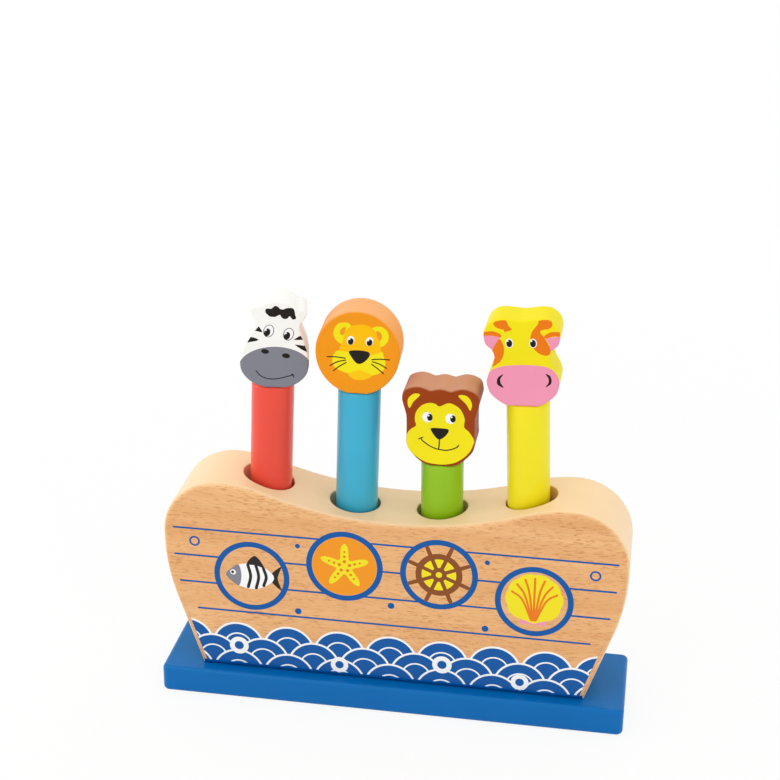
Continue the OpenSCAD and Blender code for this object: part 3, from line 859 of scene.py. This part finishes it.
# each face is a dictionary of forms, drawn in millimetres from the chin's middle; a later form lies
# over an earlier one
zebraFace = {
    "muzzle": ("grey", ellipse(0.3, 10.2, 16.3, 10.3, 4, 90)),
    "leftCheekStripe": ("black", np.array([(-12.7, 21.6), (-11.4, 24.4), (-9.5, 24.1), (-7.6, 23.3),
        (-8.8, 22.6), (-10.8, 22.1)])),
    "leftBrowStripe": ("black", np.array([(-9.7, 27.5), (-8.1, 29.7), (-6.4, 27.4), (-6.5, 26.9)])),
    "rightBrowStripe": ("black", np.array([(7.7, 24.5), (10.7, 26.7), (11.8, 24.7), (9.3, 24.4)])),
    "rightCheekStripe": ("black", np.array([(8.3, 22.2), (10.7, 22.1), (13.0, 21.9), (14.2, 18.9),
        (11.6, 20.0), (9.7, 21.2)])),
    "forelock": ("black", closedCurve([(-5.7, 37.5), (-5.3, 38.3), (-4.0, 38.4), (-3.0, 38.5),
        (-2.3, 39.3), (-1.3, 39.9), (0.0, 39.4), (0.8, 38.6), (2.3, 38.5), (3.4, 39.1), (5.0, 39.4),
        (6.4, 39.3), (7.2, 38.2), (7.6, 36.3), (8.1, 35.0), (7.6, 34.2), (6.5, 34.1), (5.9, 34.8),
        (5.1, 35.5), (4.5, 34.5), (3.4, 34.0), (2.3, 34.2), (1.5, 34.9), (0.9, 35.8), (0.0, 35.4),
        (-1.1, 34.7), (-2.5, 34.6), (-3.7, 34.8), (-4.7, 35.6), (-5.5, 36.4)], 4)),
    "leftEyeRim": ("black", ellipse(-3.6, 27.8, 2.35, 3.05, -12)),
    "rightEyeRim": ("black", ellipse(5.3, 26.9, 2.35, 3.05, -12)),
    **eyes([(-3.6, 27.8), (5.3, 26.9)], [(-4.2, 27.1), (4.7, 26.1)], [(-4.9, 28.2), (4.0, 27.3)],
           (2.05, 2.75), (1.35, 1.9), 0.45, -12),
    "leftNostril": ("black", ellipse(-4.6, 17.9, 1.75, 1.1, -8)),
    "rightNostril": ("black", ellipse(4.9, 16.5, 1.8, 1.15, -5)),
    "smile": ("black", stroke([(-8.0, 8.3), (-6.2, 6.3), (-3.7, 5.1), (-0.4, 4.8), (2.8, 5.4),
        (6.0, 6.5), (8.8, 7.5)], 0.48)),
    "smileCorner": ("black", stroke([(8.0, 7.7), (8.7, 7.6), (9.1, 6.3)], 0.45))}

lionFace = {
    "leftEar": ("yellow", closedCurve([(-2.7, 32.8), (-4.1, 34.2), (-5.7, 34.5), (-7.9, 34.0),
        (-9.7, 32.4), (-10.7, 29.5), (-10.3, 27.2), (-8.9, 25.3), (-6.9, 24.4), (-5.7, 27.2),
        (-4.1, 31.2)])),
    "rightEar": ("yellow", closedCurve([(6.2, 32.0), (8.6, 33.3), (11.2, 33.0), (13.2, 31.3),
        (13.9, 28.8), (13.3, 26.1), (11.7, 24.3), (9.9, 23.9), (9.1, 26.3), (8.1, 30.1)])),
    "leftEarHollow": ("lion", closedCurve([(-5.1, 32.3), (-6.5, 31.9), (-7.5, 30.8), (-7.8, 29.5),
        (-7.1, 28.4), (-6.1, 28.7), (-5.5, 30.5)])),
    "rightEarHollow": ("lion", closedCurve([(8.4, 31.0), (10.1, 30.6), (10.9, 29.0), (10.6, 27.3),
        (9.3, 26.3), (8.8, 28.0)])),
    "cheeks": ("yellow", closedCurve([(-7.9, 21.3), (-10.5, 19.2), (-11.2, 16.1), (-10.3, 13.1),
        (-7.3, 11.3), (-4.0, 10.2), (-2.0, 7.9), (0.9, 7.3), (4.2, 8.0), (6.8, 9.9), (9.4, 10.8),
        (11.9, 13.1), (12.6, 16.2), (11.8, 19.2), (10.2, 21.7), (0.8, 22.8)])),
    "chin": ("chin", closedCurve([(-4.0, 9.9), (-1.1, 11.5), (1.3, 12.3), (3.7, 11.3), (6.6, 9.9),
        (4.2, 8.0), (0.9, 7.3), (-2.0, 7.9)])),
    "forehead": ("amber", closedCurve([(-7.9, 21.1), (-7.7, 22.8), (-6.6, 25.5), (-5.9, 28.5),
        (-4.8, 30.9), (-3.3, 32.5), (0.0, 33.7), (3.6, 33.7), (6.0, 32.7), (8.0, 30.6), (9.0, 28.1),
        (10.0, 25.5), (10.2, 21.4), (6.5, 19.7), (0.9, 18.1), (-4.0, 20.4)])),
    "nose": ("black", closedCurve([(-3.8, 20.5), (-2.8, 21.3), (0.8, 21.6), (4.5, 21.2),
        (5.6, 20.0), (5.0, 18.2), (2.9, 16.0), (0.9, 15.1), (-0.8, 15.8), (-2.7, 18.3)])),
    **eyes([(-3.0, 26.1), (5.4, 26.0)], [(-2.95, 25.6), (5.45, 25.5)], [(-3.6, 26.8), (4.8, 26.7)],
           (1.65, 2.15), (1.25, 1.6), 0.5, -14),
    "leftWhiskerHigh": ("black", stroke([(-13.5, 17.8), (-9.7, 17.9), (-5.4, 17.5)], whisker)),
    "leftWhiskerMiddle": ("black", stroke([(-12.2, 13.6), (-8.9, 15.6), (-5.2, 16.6)], whisker)),
    "leftWhiskerLow": ("black", stroke([(-10.7, 11.2), (-8.1, 13.4), (-5.0, 15.5)], whisker)),
    "rightWhiskerHigh": ("black", stroke([(6.5, 17.5), (10.2, 17.9), (14.4, 17.8)], whisker)),
    "rightWhiskerMiddle": ("black", stroke([(6.8, 16.5), (10.2, 15.4), (13.1, 13.7)], whisker)),
    "rightWhiskerLow": ("black", stroke([(6.4, 15.3), (9.0, 13.4), (11.8, 11.1)], whisker))}

monkeyFace = {
    "face": ("yellow", closedCurve([(-0.4, 29.9), (-2.3, 31), (-5, 31.3), (-8.3, 29.9),
        (-10.9, 26.6), (-11.5, 22.9), (-11, 19.9), (-13.4, 17.9), (-15.1, 15.3), (-15.4, 10.7),
        (-14.4, 7.5), (-8.2, 3), (-3.6, 1.6), (2.1, 1.5), (7.7, 3.2), (12.5, 7.3), (15, 12.1),
        (15.1, 14.9), (12.9, 18.4), (10.8, 20.5), (10.9, 24.8), (8.9, 29.1), (5.9, 31.2),
        (3.3, 31.6)])),
    "leftEar": ("yellow", closedCurve([(-9.2, 34.9), (-11.8, 35.3), (-14.2, 33.3), (-14.8, 31.2),
        (-14.5, 29.2), (-13.7, 28.4), (-12.1, 31.4)])),
    "rightEar": ("yellow", closedCurve([(8, 35.4), (10.6, 36), (12.9, 34.6), (14.1, 31.9),
        (13.9, 29.9), (13.2, 28.8), (11.5, 31.7)])),
    **eyes([(-5.8, 24.3), (4.6, 24.2)], [(-4.7, 24.3), (5.7, 24.2)], [(-5.3, 25.1), (5.1, 25.0)],
           (2.3, 2.5), (1.25, 1.75), 0.4),
    "nose": ("black", closedCurve([(-4.3, 18.4), (-3.4, 19.2), (0, 19.3), (3.2, 19.1), (3.9, 18.1),
        (2.4, 15.6), (0.3, 13.9), (-0.9, 13.8), (-2.6, 15.4)])),
    "smile": ("black", stroke([(-8.6, 14), (-8.2, 12.9), (-5.7, 10.9), (-3, 9.5), (-0.8, 8.9),
        (2.7, 8.6), (5.7, 9.4), (7.5, 10.4), (8.4, 11.4)], 0.58)),
    "smileCorner": ("black", stroke([(-9.8, 13.4), (-8.8, 13.9), (-7.8, 14.3)], 0.5)),
    "lipLine": ("black", stroke([(-0.3, 14.2), (-0.4, 11.5), (-0.6, 9)], 0.58))}

giraffeFace = {
    "muzzle": ("pink", closedCurve([(-16.4, 11.4), (-15.5, 14.8), (-13.4, 17.6), (-9.8, 19.2),
        (-5.4, 19.9), (-0.1, 20.2), (5.1, 20.1), (9.5, 19.6), (12.8, 18.3), (14.8, 15.8),
        (16.6, 12.1), (16.5, 10.0), (14.6, 4.6), (9.6, 0.9), (0.7, -0.8), (-7.9, -0.2),
        (-13.8, 3.5), (-16.2, 7.9)])),
    "leftCrownPatch": ("orange", closedCurve([(-12.1, 39.3), (-11.3, 40.2), (-9.1, 40.8),
        (-6.7, 40.8), (-6.0, 39.9), (-5.5, 38.4), (-4.2, 36.6), (-7.3, 35.6), (-7.7, 36.5),
        (-9.7, 37.0), (-11.4, 38.0)], 6)),
    "rightBrowPatch": ("orange", closedCurve([(7.3, 39.3), (7.6, 40.6), (9.1, 41.1), (12.1, 40.9),
        (13.5, 39.5), (13.0, 37.9), (11.6, 37.0), (9.9, 36.8), (8.3, 36.1), (8.4, 35.0),
        (9.8, 33.3), (11.0, 31.1), (12.5, 27.7), (11.8, 25.1), (9.6, 24.8), (7.0, 26.0),
        (5.2, 28.0), (4.0, 30.6), (3.9, 33.1), (4.7, 35.8), (6.0, 37.6)], 6)),
    "leftEarTop": ("orange", closedCurve([(-17.2, 35.0), (-15.4, 35.5), (-12.8, 35.8),
        (-10.6, 35.2), (-8.8, 34.0), (-9.6, 32.8), (-12.8, 33.7), (-17.2, 33.3)], 6)),
    "leftEar": ("pink", closedCurve([(-17.3, 33.3), (-15.5, 33.7), (-12.4, 33.5), (-9.6, 32.8),
        (-11.0, 29.9), (-12.7, 26.5), (-15.4, 27.8), (-17.4, 31.4)], 6)),
    "rightEarTop": ("orange", closedCurve([(9.8, 33.7), (12.0, 35.3), (14.2, 35.8), (17.2, 35.3),
        (17.8, 33.5), (15.0, 33.7), (12.8, 33.4), (10.9, 32.5)], 6)),
    "rightEar": ("pink", closedCurve([(10.7, 32.5), (12.4, 33.1), (15.0, 33.5), (17.6, 33.1),
        (17.6, 31.0), (15.1, 28.4), (12.8, 26.9), (11.9, 29.8)], 6)),
    "leftCheekPatch": ("orange", closedCurve([(-9.8, 32.2), (-8.6, 30.9), (-7.8, 28.1),
        (-8.1, 24.8), (-9.5, 21.9), (-12.0, 19.8), (-13.9, 19.0), (-13.2, 22.4), (-12.9, 24.7),
        (-12.8, 27.1), (-11.2, 30.3)], 6)),
    **eyes([(-5.4, 30.3), (5.0, 30.4)], [(-5.4, 30.2), (4.95, 30.3)], [(-6.1, 31.3), (4.3, 31.4)],
           (1.65, 2.15), (1.3, 1.75), 0.38),
    "leftNostril": ("black", closedCurve([(-8.5, 15.6), (-10.4, 14.6), (-11.4, 12.7), (-11.0, 10.6),
        (-8.5, 9.3), (-9.7, 11.5), (-9.8, 13.5)], 6)),
    "rightNostril": ("black", closedCurve([(10.1, 16.1), (12.0, 15.3), (12.7, 13.2), (12.2, 11.3),
        (10.0, 9.9), (11.3, 12.0), (11.3, 14.1)], 6))}

faces = {"zebra": zebraFace, "lion": lionFace, "monkey": monkeyFace, "giraffe": giraffeFace}


def headParts(k):
    paint = inkColours[animals[k]]
    faceInks = [(inkColours[colour], tilted(form, k, flat=False))
                for colour, form in faces[animals[k]].values()]
    half, edge = heads["thickness"] / 2, heads["edge"]
    outline = headOutline(k)
    outline = np.roll(outline, -np.argmax(outline[:, 1]), axis=0)  # starts at the crown
    place, _, normal = stations(outline)
    chin = (normal[:, 1] < -0.5) & (place[:, 1] < heads["height"][k] / 4)
    inkedTo = heads["height"][k] + 1  # the face runs round the front edge all the way up
    parts = board(outline, half, edge, faceInks, paint, inkedTo, openWalls=(chin,))
    pinHole = (0.0, pegs["pinHole"], np.arange(holeSides) * 2 * np.pi / holeSides)
    strip, rings = drilledStrip(place[chin], normal[chin], half - edge, [pinHole], paint)
    depth = heads["chinFlat"] + pegs["pinLength"] / 2 + pegs["pinEnd"]
    hole = drilledHole(rings[0], 0.0, pegs["pinHole"], 0, depth, paint, closed=True)
    lift = Matrix.Translation((0, 0, fromDeck(k, pegs["seat"][k]) - heads["chinFlat"]))
    return placed(parts + [strip, hole], onPeg(k) @ lift)


def dowelParts(k):
    # profile from the foot's middle up the side and down into the pin's hole, turned about the axis
    low, high, r = fromDeck(k, pegs["foot"]), fromDeck(k, pegs["seat"][k]), pegs["dowel"] / 2
    foot, top = pegs["footRadius"], pegs["topRadius"]
    depth = high - pegs["pinLength"] / 2 - pegs["pinEnd"]
    profile = np.concatenate([[(0, low)], arc(r - foot, low + foot, foot, -90, 0, 15),
                              arc(r - top, high - top, top, 0, 90, 10),
                              [(pegs["pinHole"], high), (pegs["pinHole"], depth), (0, depth)]])
    return placed([turned(profile, (0, 0), bare, count=96)], onPeg(k))


for k, animal in enumerate(animals):
    # the second value is how much painted sheen pales the head's top
    headSlot, topSheen = headPaints[animal]
    headPaint = paintedWood(animal + "HeadPaint", grain=heads["grain"], specular=heads["specular"],
                            coat=heads["coat"], topSheen=topSheen)
    makePiece(animal + "Head", headParts(k), headPaint, animal + "_peg",
              [animal + "_head"])
    dowelSlot, dowelColour = dowelPaints[animal]
    dowelPaint = paintedWood(animal + "DowelPaint", dowelColour)
    makePiece(animal + "Dowel", dowelParts(k), dowelPaint, animal + "_peg",
              [animal + "_dowel"])
    pin = frame["nodes"][animal + "_pin"]
    pin.data.materials.clear()
    pin.data.materials.append(bareWood)
print("pegs made")


# springs and staples

springs = {"wire": 1.0, "coil": 16, "working": 8, "seatPitch": 2.6, "topPitch": 1.5, "lift": 0.15,
           "footGap": 0.3, "steps": 24, "sides": 10}
staples = {"wire": (0.7, 1.2), "wireEdge": 0.2, "depth": 6.9, "turns": (0.125, 0.625), "gap": 0.4,
           "crownGap": 0.1, "reach": 0.03, "bend": 0.45}


def springLength(k):
    corner = pegs["dowel"] / 2 * math.sin(abs(leanOf(k)))  # how far a leaning foot's low side hangs
    return pegs["foot"] - springs["lift"] - springs["footGap"] - corner


def wireHeight(k, t):
    # of the wire's middle after t turns: straight lines over a closing turn, the working turns and
    # another closing turn
    spare = springLength(k) - springs["wire"] - springs["seatPitch"] - springs["topPitch"]
    pitch = spare / springs["working"]
    return (springs["wire"] / 2 + springs["seatPitch"] * np.minimum(t, 1)
            + pitch * np.clip(t - 1, 0, springs["working"])
            + springs["topPitch"] * np.maximum(0, t - 1 - springs["working"]))


def springParts(k):
    # helix (R cos 2 pi t, R sin 2 pi t, height(t)), with a straight stretch as long as the wire is
    # thick at each end
    turns = springs["working"] + 2
    t = np.linspace(0, turns, turns * springs["steps"] + 1)
    r = springs["coil"] / 2
    helix = np.stack([r * np.cos(2 * np.pi * t), r * np.sin(2 * np.pi * t), wireHeight(k, t)], 1)
    straight = (0, springs["wire"], 0)
    path = np.concatenate([helix[:1] - straight, helix, helix[-1:] + straight])
    section = ellipse(0, 0, springs["wire"] / 2, springs["wire"] / 2, count=springs["sides"])
    spring = tubePart(path, section, np.array([0.0, 0, 1]), bare)
    cx = (k - 1.5) * boat["pitch"]
    return placed([spring], Matrix.Translation((cx, 0, plate["thickness"] + springs["lift"])))


def stapleParts(k):
    # flat wire bent over the spring's lowest turn: up one leg, across with rounded corners, down
    parts = []
    w, h = staples["wire"]
    e = staples["wireEdge"]
    for turn in staples["turns"]:
        wireTop = springs["lift"] + wireHeight(k, turn + staples["reach"]) + springs["wire"] / 2
        x, r = springs["wire"] / 2 + staples["gap"] + w / 2, staples["bend"]
        z = float(wireTop + staples["crownGap"]) + w / 2
        profile = np.concatenate([[(-x, -staples["depth"])], arc(-x + r, z - r, r, 180, 90, 15),
                                  arc(x - r, z - r, r, 90, 0, 15), [(x, -staples["depth"])]])
        path = np.stack([profile[:, 0], 0 * profile[:, 0], profile[:, 1]], 1)
        corner = arc(h / 2 - e, w / 2 - e, e, 0, 90, 30)
        half = np.concatenate([corner, (corner * (-1, 1))[::-1]])
        section = np.concatenate([half, -half])
        tube = tubePart(path, section[:, ::-1], np.array([0.0, 1, 0]), bare)
        out = Matrix.Translation((springs["coil"] / 2, 0, 0))
        parts += placed([tube], Matrix.Rotation(2 * math.pi * turn, 4, "Z") @ out)
    cx = (k - 1.5) * boat["pitch"]
    return placed(parts, Matrix.Translation((cx, 0, plate["thickness"])))


for k, animal in enumerate(animals):
    spring = makePiece(animal + "Spring", springParts(k), springSteel, "boat",
                       [animal + "_spring"])
    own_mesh(spring)
    makePiece(animal + "Staples", stapleParts(k), springSteel, "boat",
              [animal + "_staples"])
print("springs made")


# floor, light and camera

cameraView = {"azimuth": 9.27, "elevation": 22.92, "roll": 0.57, "distance": 0.7685,
              "target": (-0.00468, 0.0, 0.15459), "lens": 78.62}


def addCamera():
    a, e, r = (math.radians(cameraView[k]) for k in ("azimuth", "elevation", "roll"))
    right = Vector((math.cos(a), math.sin(a), 0))
    back = Vector((math.sin(a) * math.cos(e), -math.cos(a) * math.cos(e), math.sin(e)))
    up = back.cross(right)
    turnedRight = right * math.cos(r) + up * math.sin(r)
    turnedUp = up * math.cos(r) - right * math.sin(r)
    data = bpy.data.cameras.new("photoView")
    data.lens, data.sensor_width, data.sensor_fit = cameraView["lens"], 36.0, "HORIZONTAL"
    camera = bpy.data.objects.new("photoView", data)
    turn = Matrix((turnedRight, turnedUp, back)).transposed().to_4x4()
    place = Vector(cameraView["target"]) + cameraView["distance"] * back
    camera.matrix_world = Matrix.Translation(place) @ turn
    bpy.context.scene.collection.objects.link(camera)
    bpy.context.scene.camera = camera


def addLamp(name, place, target, size, power):
    data = bpy.data.lights.new(name, "AREA")
    data.shape, data.size, data.energy = "SQUARE", size, power
    lamp = bpy.data.objects.new(name, data)
    lamp.location = place
    lamp.rotation_euler = (Vector(target) - Vector(place)).to_track_quat("-Z", "Y").to_euler()
    bpy.context.scene.collection.objects.link(lamp)


studio = {"world": 0.76, "floorColour": 0.88, "floorGlow": (0.88, 1.0), "floorReach": (0.2, 0.7),
          "floorSize": 8, "lampTarget": (0, 0, 0.1),
          "lamps": {  # place, size and power
              "key": ((-0.7, -1.0, 1.1), 0.9, 3.2), "top": ((0.1, 0.35, 1.4), 1.5, 4.7),
              "fill": ((1.1, -0.9, 0.6), 0.9, 3.3), "side": ((-1.2, -0.1, 0.45), 0.7, 3.7)}}


def seenRays(tree):  # 1 for rays that show the surroundings: direct, mirrored or let through
    path = add(tree, "LightPath").outputs
    seen = path["Is Camera Ray"]
    for kind in ("Is Glossy Ray", "Is Transmission Ray"):
        seen = add(tree, "Math", {0: seen, 1: path[kind]}, operation="MAXIMUM").outputs[0]
    return seen


def addStudio():
    world = bpy.data.worlds.new("studio")
    bpy.context.scene.world = world
    world.use_nodes = True
    tree = world.node_tree
    strength = spread(tree, seenRays(tree), studio["world"], 1.0, 0, 1)
    tree.links.new(strength, tree.nodes["Background"].inputs["Strength"])
    tree.nodes["Background"].inputs["Color"].default_value = (1, 1, 1, 1)
    material = bpy.data.materials.new("paleFloor")
    material.use_nodes = True
    tree = material.node_tree
    tree.nodes.remove(tree.nodes["Principled BSDF"])
    matte = add(tree, "BsdfDiffuse", {"Color": (studio["floorColour"],) * 3 + (1,)})
    glow = add(tree, "Emission", {"Color": (1, 1, 1, 1), "Strength": 1.0})
    place = add(tree, "TexCoord").outputs["Object"]
    away = add(tree, "VectorMath", {0: place}, operation="LENGTH").outputs["Value"]
    bright = spread(tree, away, *studio["floorGlow"], *studio["floorReach"])
    share = add(tree, "Math", {0: seenRays(tree), 1: bright}, operation="MULTIPLY")
    both = add(tree, "MixShader", {0: share.outputs[0], 1: matte.outputs[0], 2: glow.outputs[0]})
    tree.links.new(both.outputs[0], tree.nodes["Material Output"].inputs["Surface"])
    mesh = bpy.data.meshes.new("floor")
    s = studio["floorSize"]
    mesh.from_pydata([(-s, -s, 0), (s, -s, 0), (s, s, 0), (-s, s, 0)], [], [(0, 1, 2, 3)])
    mesh.materials.append(material)
    floor = bpy.data.objects.new("floor", mesh)
    bpy.context.scene.collection.objects.link(floor)
    for name, (place, size, power) in studio["lamps"].items():
        addLamp(name, place, studio["lampTarget"], size, power)


bpy.context.scene.view_settings.view_transform = "Standard"
addCamera()
addStudio()
print("studio made")
